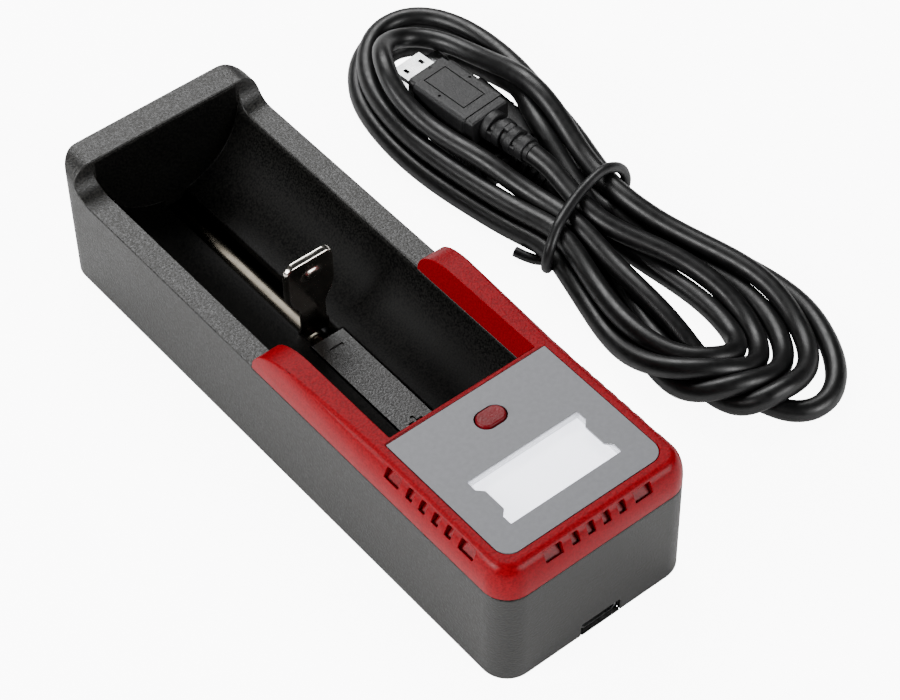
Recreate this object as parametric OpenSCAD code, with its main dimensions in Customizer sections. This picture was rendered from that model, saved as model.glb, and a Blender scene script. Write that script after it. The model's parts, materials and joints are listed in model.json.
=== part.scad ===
// Single-bay USB charger for cylindrical lithium cells, with its tied USB lead.
// +X width, +Y towards the tall end wall, +Z up; origin under the middle of the charger, on the table.

/* [Housing] */
// Overall width of the charger
body_w = 40; // [39.5:0.5:41]
// Overall length of the charger
body_l = 122.5; // [122:0.5:124]
// Radius of the upright corners
corner_r = 5; // [4:0.5:6]
// Radius of the tall end wall's top corners
end_corner_r = 4; // [3:0.5:5]
// Wall thickness of the mouldings
wall = 1.8; // [1.6:0.1:2]
// Gap under the housing that the rubber feet make
foot_gap = 0.3; // [0.2:0.1:0.5]
// Height where the dark housing ends under the red cover
split_z = 21.05; // [20.9:0.05:21.2]
// Height of the side rails beside the bay
rail_z = 21.5; // [21.4:0.1:21.8]
// Height of the tall end wall
end_wall_z = 27.2; // [26.8:0.2:27.6]
// Inner face of the tall end wall
end_wall_y = 55.4; // [55:0.1:55.6]
// Radius of the sweep from a side rail up to the end wall
sweep_r = 4; // [3:0.5:4.5]

/* [Cell bay] */
// Radius of the half-round trough
trough_r = 15.6; // [15.4:0.1:15.7]
// Height of the trough's axis
trough_z = 24.2; // [24:0.1:24.4]
// Face of the bay that carries the positive contact
bay_front_y = -27.2; // [-27.4:0.1:-27]
// Half width of the slot that the sliding contact runs in
slot_half = 2.6; // [2.5:0.1:2.8]
// Front end of the slot
slot_y = 10.1; // [9.8:0.1:10.4]

/* [Red cover] */
// Underside of the cover
cover_z = 21.25; // [21.2:0.05:21.4]
// Height of the flat deck
deck_z = 27.9; // [27.7:0.1:28.1]
// How far back the two arms reach
arm_y = 3.6; // [3.2:0.1:4]
// Half width between the arms
arm_half = 15.1; // [15:0.1:15.3]
// How far the rounded shoulder draws the deck in
shoulder_w = 2.6; // [2.4:0.1:3]

/* [Display] */
// Half width of the grey panel
panel_half = 16.5; // [16.2:0.1:16.6]
// Front edge of the grey panel
panel_front = -57.6; // [-57.8:0.1:-57.4]
// Rear edge of the grey panel
panel_rear = -28.1; // [-28.3:0.1:-28]
// Half width of the display window
window_half = 11.4; // [11:0.1:11.6]
// Front and rear edges of the display window
window_y = [-52.8, -42.1]; // [-53:0.1:-41.9]
// Middle of the button along the charger
button_y = -34.2; // [-34.4:0.1:-34]
// Length and width of the button
button_size = [5.4, 3.6]; // [3.4:0.1:5.6]

/* [Sliding contact] */
// Front face of the sliding contact at rest
paddle_y = 13.1; // [13:0.1:13.4]
// Thickness of its sheet metal
paddle_t = 0.8; // [0.6:0.1:0.8]
// Travel of the sliding contact
travel = 39; // [36:1:39]

/* [USB socket] */
// Middle of the micro socket across the front
usb_x = 0.65; // [0:0.05:1]
// Width of the opening for the plug
usb_w = 8.3; // [8.1:0.1:8.5]

/* [Lead] */
// Diameter of the lead
lead_d = 3.9; // [3.8:0.1:4]
// Middle of the tied hank across the table
hank_x = 56; // [55:0.5:58]
// Where the tie sits along the hank
tie_y = 5; // [4:0.5:6]
// Diameter of the tie
tie_d = 2; // [1.8:0.1:2]

/* [Hidden] */
$fn = 64;
half_w = body_w / 2;
half_l = body_l / 2;
floor_top = trough_z - trough_r;      // lowest line of the trough
shell_r = trough_r + wall;            // outside of the trough's own wall
floor_under = trough_z - shell_r;     // underside of the bay floor
lid_t = 1.4;                          // bottom cover
lid_top = foot_gap + lid_t;
eps = 0.05;
screw_at = [for (x = [-15.8, 15.8], y = [-57, 54]) [x, y]];
foot_at = [for (x = [-12, 12], y = [-47, 44]) [x, y]];
board_z = 3.3;                        // underside of the main board
board_t = 1.2;
chip_z = board_z + board_t;
shoulder_levels = [22.6, 23.8, 24.8, 25.6, 26.3, 26.9, 27.35, 27.7];
panel_z = deck_z - 0.5;               // floor of the panel's recess
panel_t = 0.45;
deck_under = deck_z - 1.7;
dboard_z = 22.3;                      // underside of the display board
dboard_t = 1;
light_z = dboard_z + dboard_t;
light_t = 1;
lcd_t = 1.6;
post_at = [for (x = [-14.6, 14.6], y = [-55.6, -31.6]) [x, y]];
pin_pitch = 2.54;
pin_count = 6;
pin_x = -14.2;
pin_at = [for (i = [0 : pin_count - 1]) [pin_x + 2.4, -50 + i * pin_pitch]];
rail_top = 6.7;                       // polished guide rail in the slot
rail_under = 5.9;
rail_half = 1.6;
rivet_at = [8.5, 56.4];
sled_y = [12, 19.5];                  // moulded sled under the bay floor
sled_half = 5.5;
sled_z = [2, 6.4];
spring_y = [-8.6, 12];
spring_axis_z = 3.6;
spring_r = 1.5;
wire_r = 0.22;
spring_turns = 14;
waist_z = [tie_d, tie_d + 2 * lead_d - 0.4];   // two layers of strands, pressed together by the tie
waist_half = 10.2;
lobe_gap_y = 21;                      // face where both strain reliefs meet the hank
plug_a_z = [0, 6.6];
plug_m_z = [6.7, 12.7];
plug_a_x = 57.2;
plug_a_y = 46;                        // front of its moulded body
plug_m_x = 54.6;
plug_m_y = 40;                        // it is turned about this point
plug_m_turn = 4.9;

// A box between two corners.
module box(a, b) {
    translate(a) cube([b[0] - a[0], b[1] - a[1], b[2] - a[2]]);
}

// A rounded rectangle, its sides at x = +-w/2 and y = y0 .. y1.
module rounded_plan(w, y0, y1, r) {
    translate([-w / 2 + r, y0]) square([w - 2 * r, y1 - y0]);
    translate([-w / 2, y0 + r]) square([w, y1 - y0 - 2 * r]);
    for (x = [-w / 2 + r, w / 2 - r], y = [y0 + r, y1 - r]) translate([x, y]) circle(r);
}

module rounded_block(w, y0, y1, r, z0, z1) {
    translate([0, 0, z0]) linear_extrude(z1 - z0) rounded_plan(w, y0, y1, r);
}

// A cylinder that lies along Y.
module rod_y(x, z, r, y0, y1) {
    translate([x, y0, z]) rotate([-90, 0, 0]) cylinder(r = r, h = y1 - y0);
}

// An upright slab with round ends, its length across X.
module obround(l, w, h) {
    for (x = [-(l - w) / 2, (l - w) / 2]) translate([x, 0, 0]) cylinder(d = w, h = h);
    translate([-(l - w) / 2, -w / 2, 0]) cube([l - w, w, h]);
}

// ---------------------------------------------------------------- housing

module housing_outside() {
    difference() {
        rounded_block(body_w, -half_l, half_l, corner_r, foot_gap, end_wall_z);
        box([-half_w - 1, -half_l - 1, split_z], [half_w + 1, arm_y + 0.1, end_wall_z + 1]);
        box([-half_w - 1, arm_y, rail_z], [half_w + 1, end_wall_y - sweep_r, end_wall_z + 1]);
        box([-half_w - 1, arm_y, rail_z + sweep_r], [half_w + 1, end_wall_y, end_wall_z + 1]);
        translate([-half_w - 1, end_wall_y - sweep_r, rail_z + sweep_r])
            rotate([0, 90, 0]) cylinder(r = sweep_r, h = body_w + 2);
        for (s = [-1, 1]) difference() {
            translate([s * half_w - end_corner_r, 50, end_wall_z - end_corner_r])
                cube([2 * end_corner_r, 12, end_corner_r + 1]);
            rod_y(s * (half_w - end_corner_r), end_wall_z - end_corner_r, end_corner_r, 49, 63);
        }
    }
}

module bay_void() {
    rod_y(0, trough_z, trough_r, bay_front_y, end_wall_y);
    box([-trough_r, bay_front_y, trough_z], [trough_r, end_wall_y, end_wall_z + 1]);
}

module under_void() {
    inside = body_w - 2 * wall;
    difference() {
        rounded_block(inside, -half_l + wall, half_l - wall, corner_r - wall, foot_gap - 1, 16);
        rod_y(0, trough_z, shell_r, bay_front_y - wall, end_wall_y + wall);
    }
    rounded_block(inside, -half_l + wall, bay_front_y - wall, 2, 8, split_z + 1);
    rounded_block(body_w - 1.6, -half_l + 0.8, half_l - 0.8, corner_r - 0.8, foot_gap - 1, lid_top + 0.1);
}

module screw_boss(p) {
    top = p[1] < 0 ? split_z - 2 : 15;
    translate([p[0], p[1], lid_top + 0.1]) cylinder(r = 2.6, h = top - lid_top);
}

module lower_housing() {
    color("#2f2f2e") difference() {
        union() {
            difference() {
                housing_outside();
                bay_void();
                under_void();
            }
            for (p = screw_at) screw_boss(p);
        }
        for (p = screw_at) translate([p[0], p[1], 0]) cylinder(r = 1, h = 10);
        box([-slot_half, slot_y, 4], [slot_half, end_wall_y, floor_top + 2]);
        box([-3.65, bay_front_y, floor_top - 0.7], [3.65, slot_y + 0.1, floor_top + 2]);
        box([usb_x - usb_w / 2, -half_l - 1, foot_gap - 1], [usb_x + usb_w / 2, -half_l + wall + 1, 3.1]);
        box([usb_x - 4.3, -half_l + 0.65, foot_gap - 1], [usb_x + 4.3, -half_l + wall + 1, 3.5]);
        box([-3.2, bay_front_y - wall - 1, 9.6], [3.2, bay_front_y + 1, 10.3]);
    }
}

module bottom_cover() {
    color("#2c2c2b") difference() {
        union() {
            rounded_block(body_w - 1.8, -half_l + 0.9, half_l - 0.9, corner_r - 0.9, foot_gap, lid_top);
            box([usb_x - usb_w / 2 + 0.1, -half_l, foot_gap],
                [usb_x + usb_w / 2 - 0.1, -half_l + 2, foot_gap + 0.35]);
            for (x = [-6.8, 5.8]) box([x, 9, lid_top - eps], [x + 1, 59, 4.2]);
            for (x = [-11, 11], y = [-33, -16])
                translate([x, y, lid_top - eps]) cylinder(r = 1.8, h = board_z - lid_top + eps);
            translate([0, -10, lid_top - eps]) cylinder(r = 1, h = 3.8);
        }
        box([usb_x - 4.2, -half_l + 0.6, foot_gap + 0.35], [usb_x + 4.2, -55, lid_top + 1]);
        for (p = screw_at) translate([p[0], p[1], -1]) {
            cylinder(r = 1.15, h = 5);
            cylinder(r = 2.2, h = 1 + foot_gap + 0.85);
        }
        for (p = foot_at) translate([p[0], p[1], -1]) cylinder(r = 4.6, h = 1 + foot_gap + 0.7);
        box([-10, -22, 0], [10, 24, foot_gap + 0.15]);
        for (i = [0 : 5]) box([-9, -42 + 2.6 * i, 0], [9, -40.8 + 2.6 * i, lid_top + 0.2]);
    }
}

// ---------------------------------------------------------------- red cover

// Thin slab of the deck's plan, drawn in from the outside by inset.
module deck_slice(inset, z) {
    translate([0, 0, z]) linear_extrude(0.02)
        polygon(deck_plan(half_w - inset, -half_l + inset, bay_front_y, max(corner_r - inset, 1)));
}

function deck_plan(hw, y0, y1, r) = concat(
    [for (a = [180 : 9 : 270]) [-hw + r + r * cos(a), y0 + r + r * sin(a)]],
    [for (a = [270 : 9 : 360]) [hw - r + r * cos(a), y0 + r + r * sin(a)]],
    [[hw, y1], [-hw, y1]]);

// Elliptical shoulder: how far the outside is drawn in at height z, for a shoulder of a given width.
function shoulder(z, width) = let (k = (z - 22.6) / (deck_z - 22.6))
    k <= 0 ? 0 : width * (1 - sqrt(max(0, 1 - k * k)));

module deck_outside() {
    hull() {
        deck_slice(0, cover_z);
        for (z = shoulder_levels) deck_slice(shoulder(z, shoulder_w), z);
        deck_slice(shoulder_w - 0.1, deck_z - 0.02);
    }
}

// One cross-section of the two arms: full width below, shoulder above, up to height top.
module arm_slice(y, top, width) {
    zs = [for (i = [0 : 9]) cover_z + (top - cover_z) * sin(i * 10)];
    side = [for (z = zs) [half_w - shoulder(min(z, deck_z), width) - (z == top ? 0.3 : 0), z]];
    left = [for (i = [9 : -1 : 0]) [-side[i][0], side[i][1]]];
    translate([0, y, 0]) rotate([90, 0, 0]) linear_extrude(0.02) polygon(concat(side, left));
}

// The deck's own cross-section, where the arms leave it.
module deck_section(y) {
    side = concat([[half_w, cover_z]], [for (z = shoulder_levels, dz = [0, 0.02])
        [half_w - shoulder(z, shoulder_w), z + dz]], [for (dz = [0.02, 0]) [half_w - shoulder_w + 0.1, deck_z - dz]]);
    left = [for (i = [len(side) - 1 : -1 : 0]) [-side[i][0], side[i][1]]];
    translate([0, y, 0]) rotate([90, 0, 0]) linear_extrude(0.02) polygon(concat(side, left));
}

module arms_outside() {
    nose_l = 10;
    hull() {
        deck_section(bay_front_y);
        arm_slice(arm_y - nose_l, deck_z, 1);
        for (a = [10 : 10 : 80])
            arm_slice(arm_y - nose_l + nose_l * sin(a), rail_z + (deck_z - rail_z) * cos(a), 0.9);
        arm_slice(arm_y, rail_z + 0.2, 0.2);
    }
}

// A row of vent slots along +X: four short ones between two long ones, cut downwards.
module vent_row(pitch, long) {
    for (i = [0 : 3]) translate([(i - 1.5) * pitch, 0, 0]) cube([1.5, 3, 1.9], center = true);
    for (s = [-1, 1]) translate([s * (2 * pitch + long / 2 + 1.05), 0, 0]) cube([long, 3, 1.9], center = true);
}

module vents() {
    lean = 45;
    translate([0, -half_l + 1.3, 25.9]) rotate([-lean, 0, 0]) vent_row(3.2, 3.5);
    for (s = [-1, 1])
        translate([s * (half_w - 1.3), -42.25, 25.9]) rotate([0, 0, s * 90]) rotate([-lean, 0, 0])
            vent_row(3.2, 3.5);
}

module window_plan(grow) {
    w = window_half + grow;
    n = w - 1.1;
    y0 = window_y[0] - grow;
    y1 = window_y[1] + grow;
    polygon([[-w, y0], [w, y0], [w, y0 + 1.9], [n, y0 + 3], [n, y1 - 3.2], [w, y1 - 2.1],
             [w, y1], [-w, y1], [-w, y1 - 2.1], [-n, y1 - 3.2], [-n, y0 + 3], [-w, y0 + 1.9]]);
}

module top_cover() {
    color("#b5121b") difference() {
        union() {
            difference() {
                union() {
                    deck_outside();
                    difference() {
                        arms_outside();
                        box([-arm_half, bay_front_y, 0], [arm_half, arm_y + 5, deck_z + 5]);
                    }
                }
                rounded_block(34.6, -half_l + 2.7, bay_front_y - 1.4, 2, cover_z - 1, deck_under);
            }
            difference() {
                rounded_block(36.2, -half_l + 1.95, bay_front_y - 2, 3, cover_z - 1.6, cover_z + 0.6);
                rounded_block(34.2, -half_l + 2.95, bay_front_y - 3, 2, cover_z - 2, cover_z + 2);
            }
            for (p = post_at) translate([p[0], p[1], light_z]) cylinder(r = 1.3, h = deck_under - light_z + eps);
        }
        for (s = [-1, 1]) translate([s * 17.4 - 0.7, -25, cover_z - 1]) cube([1.4, 24, 4.6]);
        translate([0, 0, panel_z]) linear_extrude(2)
            polygon(deck_plan(panel_half + 0.12, panel_front - 0.12, panel_rear + 0.12, 2.9));
        box([-window_half - 1, window_y[0] - 0.6, deck_under - 1], [window_half + 1, window_y[1] + 0.6, deck_z]);
        translate([0, button_y, deck_under - 1]) obround(button_size[0] + 0.9, button_size[1] + 0.9, 4);
        for (p = post_at) translate([p[0], p[1], light_z - 1]) cylinder(r = 0.65, h = 3.2);
        vents();
    }
}

// ---------------------------------------------------------------- display

module display_panel() {
    color("#8d8e90") difference() {
        translate([0, 0, panel_z]) linear_extrude(panel_t)
            polygon(deck_plan(panel_half, panel_front, panel_rear, 2.8));
        translate([0, 0, panel_z - 1]) linear_extrude(3) window_plan(0);
        translate([0, button_y, panel_z - 1]) obround(button_size[0] + 0.5, button_size[1] + 0.5, 3);
    }
}

module display_window() {
    color("#e8edf0", 0.4) translate([0, 0, panel_z + 0.03]) linear_extrude(panel_t - 0.06) window_plan(-0.03);
}

module lcd_frame() {
    lcd_top = light_z + light_t + lcd_t;
    color("#e6e7ea") difference() {
        box([-window_half - 0.9, window_y[0] - 0.5, lcd_top], [window_half + 0.9, window_y[1] + 0.5, panel_z - 0.03]);
        box([-window_half - 0.15, window_y[0] - 0.1, lcd_top - 1],
            [window_half + 0.15, window_y[1] + 0.1, panel_z + 1]);
    }
}

module lcd_glass() {
    color("#f1f2f7") {
        z = light_z + light_t;
        box([-12.2, window_y[0] - 0.5, z + 0.03], [12.2, window_y[1] + 0.5, z + lcd_t - 0.03]);
    }
}

module backlight_panel() {
    color("#f4f4f2") box([-12.2, window_y[0] - 0.5, light_z], [12.2, window_y[1] + 0.5, light_z + light_t]);
}

module display_board() {
    color("#1f5a34") difference() {
        box([-16, -57.6, dboard_z], [16, bay_front_y - 3.2, dboard_z + dboard_t]);
        for (p = post_at) translate([p[0], p[1], 0]) cylinder(r = 0.8, h = 40);
        for (p = pin_at) translate([p[0], p[1], 0]) cylinder(r = 0.45, h = 40);
    }
}

module board_screws() {
    color("#b9bbbe") for (p = post_at) translate([p[0], p[1], dboard_z]) {
        difference() {
            translate([0, 0, -0.8]) cylinder(r = 1.35, h = 0.8);
            for (a = [0, 90]) rotate(a) translate([-0.9, -0.15, -1]) cube([1.8, 0.3, 0.6]);
        }
        translate([0, 0, -eps]) cylinder(r = 0.6, h = 3);
    }
}

module tact_switch() {
    color("#d8d8d6") difference() {
        translate([-2.3, button_y - 2.3, light_z]) cube([4.6, 4.6, 1.5]);
        translate([0, button_y, light_z + 0.4]) cylinder(r = 1.1, h = 2);
    }
}

module tact_plunger() {
    color("#1c1c1c") translate([0, button_y, light_z + 0.95]) cylinder(r = 1, h = 0.95);
}

module button_cap() {
    stem_z = light_z + 1.9;
    color("#c2202a") translate([0, button_y, 0]) {
        translate([0, 0, deck_under - 0.6]) obround(button_size[0], button_size[1], 28.25 - deck_under + 0.6);
        translate([0, 0, deck_under - 0.9]) obround(button_size[0] + 2, button_size[1] + 2, 0.7);
        translate([0, 0, stem_z]) cylinder(r = 0.9, h = deck_under - stem_z);
    }
}

// ---------------------------------------------------------------- electronics

module main_board() {
    color("#1f5a34") difference() {
        box([-12.9, -58.6, board_z], [12.9, -12.6, board_z + board_t]);
        for (p = pin_at) translate([p[0], p[1], 0]) cylinder(r = 0.45, h = 40);
    }
}

module pin_header() {
    last = pin_at[pin_count - 1];
    color("#c9a44a") for (p = pin_at) translate([p[0], p[1], board_z - 0.6]) cylinder(r = 0.35, h = 20.55);
    color("#1a1a1a") difference() {
        box([pin_at[0][0] - 1.2, pin_at[0][1] - 1.2, chip_z], [last[0] + 1.2, last[1] + 1.2, chip_z + 2.5]);
        for (p = pin_at) translate([p[0], p[1], 0]) cylinder(r = 0.34, h = 40);
    }
}

// Turns the small plug's pieces a little on the large plug below.
module turned() {
    translate([plug_m_x, plug_m_y, 0]) rotate(plug_m_turn) translate([-plug_m_x, -plug_m_y, 0]) children();
}

// Section of the micro socket and plug: a flat rectangle with its lower corners cut off.
module micro_plan(w, h, cut) {
    polygon([[-w / 2 + cut, 0], [w / 2 - cut, 0], [w / 2, cut], [w / 2, h], [-w / 2, h], [-w / 2, cut]]);
}

// The section run along +Y from y0 to y1.
module micro_run(x, z, y0, y1, w, h, cut) {
    translate([x, y1, z]) rotate([90, 0, 0]) linear_extrude(y1 - y0) micro_plan(w, h, cut);
}

module usb_socket_shell() {
    color("#c4c5c6") difference() {
        micro_run(usb_x, 0.75, -60.5, -55.5, 7.6, 2.5, 0.8);
        micro_run(usb_x, 1, -61, -55.9, 7.1, 2, 0.7);
    }
}

module usb_socket_tongue() {
    color("#141414") {
        box([usb_x - 2.4, -60, 2.2], [usb_x + 2.4, -56.6, 2.7]);
        box([usb_x - 3, -56.6, 1.8], [usb_x + 3, -55.95, 2.9]);
    }
}

// A small-outline chip with gull-wing legs along both long sides.
module chip(x, y, w, l, h, legs) {
    color("#1b1b1c") box([x - w / 2, y - l / 2, chip_z + 0.12], [x + w / 2, y + l / 2, chip_z + h]);
    pitch = l / legs;
    color("#c8c9ca") for (i = [0 : legs - 1], s = [-1, 1])
        translate([x + s * (w / 2 + 0.35), y - l / 2 + (i + 0.5) * pitch, chip_z + h / 4])
            cube([0.8, 0.45, h / 2], center = true);
}

module controller_chip() { chip(2, -38, 4, 5.2, 1.5, 4); }

module charge_chip() { chip(1, -50, 4, 4.2, 1.2, 3); }

module inductor() {
    color("#3a3a3c") difference() {
        box([5.4, -54, chip_z], [11.6, -47.8, chip_z + 3]);
        translate([8.5, -50.9, chip_z + 2.6]) cylinder(r = 2, h = 1);
    }
}

module capacitors() {
    color("#5b4a78") for (y = [-44, -37]) translate([9, y, chip_z]) {
        cylinder(r = 2.6, h = 8);
        translate([0, 0, 7.9]) cylinder(r = 2.1, h = 0.4);
    }
}

module chip_resistors() {
    color("#26262a") for (i = [0 : 4], y = [-33.8, -27])
        translate([-4 + 2.6 * i, y, chip_z + 0.25]) cube([0.9, 1.6, 0.5], center = true);
}

module schottky_diode() {
    color("#202022") translate([-5, -43, chip_z + 1]) cube([2.6, 4.4, 2], center = true);
}

module positive_contact() {
    t = 0.4;
    y = bay_front_y + 0.02;
    color("#c9cac8") {
        difference() {
            box([-4.5, y, 9.7], [4.5, y + t, 23.6]);
            for (s = [-1, 1]) box([s * 4.5 - 1.1, y - 1, 9], [s * 4.5 + 1.1, y + 1, 12]);
        }
        intersection() {
            translate([0, y - 1.6, 17.4]) sphere(2.9);
            box([-3, y + t - eps, 14], [3, y + 3, 21]);
        }
        box([-2.8, y - 4.4, 9.7], [2.8, y + t, 10.1]);
        box([-2.8, y - 4.4, chip_z], [2.8, y - 4, 10.1]);
    }
}

module slot_cover_plate() {
    top = floor_top + 0.45;
    color("#343434") difference() {
        box([-3.4, bay_front_y + 0.1, floor_top - 0.65], [3.4, slot_y - 0.1, top]);
        box([-1.4, 6.9, top - 0.25], [1.4, 7.5, top + 1]);
        box([-1.4, -14.9, top - 0.25], [1.4, -14.3, top + 1]);
        box([-0.3, -16, top - 0.25], [0.3, -13.2, top + 1]);
    }
}

module guide_rail() {
    color("#d2d0c8") difference() {
        union() {
            translate([0, 59.2, 0]) rotate([90, 0, 0]) linear_extrude(52.4) intersection() {
                translate([-rail_half, rail_under]) square([2 * rail_half, 2]);
                translate([0, rail_top - 3]) circle(3);
            }
            box([rail_half - eps, 6.8, rail_under], [5, 9, rail_under + 0.5]);
        }
        for (y = rivet_at) translate([0, y, 0]) cylinder(r = 0.85, h = 20);
    }
}

module rail_rivets() {
    color("#8e8f90") for (y = rivet_at) translate([0, y, 0]) {
        translate([0, 0, 5.4]) cylinder(r = 1.3, h = rail_under - 5.4);
        translate([0, 0, rail_under - eps]) cylinder(r = 0.8, h = floor_under - rail_under);
    }
}

// A straight link from the rail's side tab to the main board, soldered at both ends.
module negative_wire() {
    x = 4.3;
    z = 5.25;
    color("#20242a") {
        rod_y(x, z, 0.45, -14, 8);
        translate([x, -14, chip_z]) cylinder(r = 0.8, h = z - chip_z);
        translate([x, 8, z]) cylinder(r = 0.6, h = rail_under - z);
    }
}

module case_screws() {
    color("#8b8c8e") for (p = screw_at) translate([p[0], p[1], foot_gap + 0.1]) {
        difference() {
            cylinder(r = 1.95, h = 0.75);
            for (a = [0, 90]) rotate(a) translate([-1.2, -0.2, -1]) cube([2.4, 0.4, 1.45]);
        }
        translate([0, 0, 0.7]) cylinder(r = 0.95, h = 7.5);
    }
}

module rubber_feet() {
    color("#191919") for (p = foot_at) translate([p[0], p[1], 0]) {
        cylinder(r1 = 4, r2 = 4.4, h = 0.4);
        translate([0, 0, 0.4]) cylinder(r = 4.4, h = foot_gap + 0.7 - 0.4);
    }
}

// ---------------------------------------------------------------- sliding contact

module slider_carriage() {
    color("#1d1d1e") difference() {
        box([-sled_half, sled_y[0], sled_z[0]], [sled_half, sled_y[1], sled_z[1]]);
        box([-1.75, sled_y[0] - 1, 5.1], [1.75, sled_y[1] + 1, sled_z[1] + 1]);
        rod_y(0, spring_axis_z - 0.4, 0.8, sled_y[0] - 1, sled_y[0] + 2);
    }
}

// Outline of the head of the sliding contact, drawn in by inset.
module paddle_head(inset) {
    hull() {
        for (s = [-1, 1]) {
            translate([s * 2.9, 20]) circle(r = 2.4 - inset, $fn = 48);
            translate([s * 3, 23.7]) circle(r = 2.3 - inset, $fn = 48);
        }
        if (inset == 0) translate([0, 18.6]) circle(r = 2.9, $fn = 48);
    }
}

module paddle_plan() {
    half = [[2.3, 5.3], [2.3, 9.2], [3.4, 9.3], [3.3, 9.9], [2.7, 10.9], [2.6, 13.4], [3.2, 15.2], [4.4, 18]];
    left = [for (i = [len(half) - 1 : -1 : 0]) [-half[i][0], half[i][1]]];
    polygon(concat(half, left));
    paddle_head(0);
}

module negative_contact() {
    color("#d6d3cb") {
        difference() {
            translate([0, paddle_y + paddle_t, 0]) rotate([90, 0, 0]) linear_extrude(paddle_t) paddle_plan();
            box([-1.72, paddle_y - 1, 5], [1.72, paddle_y + 2, 7.2]);
        }
        difference() {
            translate([0, paddle_y + 1.9, 0]) rotate([90, 0, 0]) linear_extrude(1.9 - paddle_t + eps) paddle_head(0);
            translate([0, paddle_y + 3, 0]) rotate([90, 0, 0]) linear_extrude(3) paddle_head(0.8);
            box([-6, paddle_y, 10], [6, paddle_y + 3, 22.3]);
        }
        intersection() {
            translate([0.2, paddle_y + 1.6, 22.3]) sphere(2.1);
            box([-3, paddle_y - 2, 19], [3, paddle_y + eps, 25]);
        }
        for (s = [-1, 1]) translate([s * 2.02 - 0.27, paddle_y + eps, 5.3]) cube([0.54, 5, 1.3]);
    }
}

// Rings of a round wire wound into a helix along +Y.
function coil_point(t) = [spring_r * cos(360 * t), spring_y[0] + wire_r + (spring_y[1] - spring_y[0]
    - 2 * wire_r) * t / spring_turns, spring_axis_z + spring_r * sin(360 * t)];

module slider_spring() {
    steps = 10;
    sides = 5;
    rings = spring_turns * steps;
    points = [for (i = [0 : rings], j = [0 : sides - 1])
        let (t = i / steps, c = coil_point(t), out = [cos(360 * t), 0, sin(360 * t)], a = j * 360 / sides)
            c + wire_r * (cos(a) * out + sin(a) * [0, 1, 0])];
    sides_f = [for (i = [0 : rings - 1], j = [0 : sides - 1], half = [0, 1])
        let (a = i * sides + j, b = i * sides + (j + 1) % sides)
            half == 0 ? [a, b, b + sides] : [a, b + sides, a + sides]];
    ends = [[for (j = [sides - 1 : -1 : 0]) j], [for (j = [0 : sides - 1]) rings * sides + j]];
    color("#a9abad") polyhedron(points, concat(sides_f, ends));
}

// ---------------------------------------------------------------- lead

// Plan of one end of the hank: a round end that narrows towards the tie.
module lobe(far_y, r, near_y, near_half) {
    hull() {
        translate([0, far_y]) circle(r = r, $fn = 40);
        translate([-near_half, near_y]) square([2 * near_half, 0.5]);
    }
}

module lead_hank() {
    color("#161617") translate([hank_x, 0, 0]) {
        linear_extrude(10.6) difference() {
            lobe(56, 17.8, 15, waist_half);
            hull() {
                translate([plug_a_x - hank_x, 56.6]) circle(r = 9, $fn = 40);
                translate([plug_a_x - hank_x - 9, plug_a_y - 21]) square([18, 1]);
                translate([-5, plug_a_y - 29]) square([11, 1]);
            }
        }
        linear_extrude(9) difference() {
            lobe(-35.4, 17.8, -6.5, waist_half);
            lobe(-26, 4, -14, 1.5);
        }
        translate([-waist_half, -6.6, waist_z[0]])
            cube([2 * waist_half, 22, waist_z[1] - waist_z[0]]);
    }
}

module micro_plug_shell() {
    z = (plug_m_z[0] + plug_m_z[1]) / 2 - 0.93;
    color("#d4d4d2") turned() difference() {
        micro_run(plug_m_x, z, 49.2, 54.9, 6.85, 1.85, 0.8);
        micro_run(plug_m_x, z + 0.28, 49.6, 56, 6.3, 1.3, 0.65);
        for (s = [-1, 1]) box([plug_m_x + s * 1.9 - 0.4, 52, z + 1.4], [plug_m_x + s * 1.9 + 0.4, 53.3, z + 3]);
    }
}

module micro_plug_insert() {
    z = (plug_m_z[0] + plug_m_z[1]) / 2 - 0.93;
    color("#202020") turned() box([plug_m_x - 2.5, 49.62, z + 0.32], [plug_m_x + 2.5, 54.2, z + 0.8]);
}

// A moulded plug body with its long edges cut off, running along Y.
module plug_block(x, z0, z1, y0, y1, w, cut) {
    h = z1 - z0;
    translate([x, y1, z0]) rotate([90, 0, 0]) linear_extrude(y1 - y0)
        polygon([[-w / 2 + cut, 0], [w / 2 - cut, 0], [w / 2, cut], [w / 2, h - cut], [w / 2 - cut, h],
                 [-w / 2 + cut, h], [-w / 2, h - cut], [-w / 2, cut]]);
}

module micro_plug_body() {
    z = plug_m_z[1];
    color("#1b1b1c") turned() difference() {
        union() {
            plug_block(plug_m_x, plug_m_z[0], z, 34.2, 47.6, 10.4, 0.5);
            plug_block(plug_m_x, plug_m_z[0] + 0.2, z - 0.2, 47.5, 49.5, 9.2, 0.5);
            plug_block(plug_m_x, plug_m_z[0] + 0.2, z - 0.2, 32.2, 34.3, 9.4, 0.5);
        }
        micro_run(plug_m_x, (plug_m_z[0] + z) / 2 - 0.93, 49.2, 50, 6.85, 1.85, 0.8);
        difference() {
            box([plug_m_x - 2.9, 36.3, z - 0.2], [plug_m_x + 2.7, 47, z + 1]);
            box([plug_m_x - 2.65, 36.55, z - 1], [plug_m_x + 2.45, 46.75, z + 1]);
        }
        for (p = [[0.5, 48.6], [3.9, 41.6], [-3.7, 41.9]])
            translate([plug_m_x + p[0], p[1], z - 0.3]) cylinder(r = 0.3, h = 1);
    }
}

// A tapered sleeve with ribs round it, from y1 (thick end) down to y0.
module strain_relief(x, z, y0, y1, r_thick, r_thin, ribs) {
    step = (y1 - y0) / ribs;
    rod_y(x, z, r_thin, y0, y1);
    for (i = [0 : ribs - 1]) {
        r = r_thick + (r_thin - r_thick) * i / ribs;
        rod_y(x, z, r, y1 - (i + 0.55) * step, y1 - i * step);
    }
}

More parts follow.
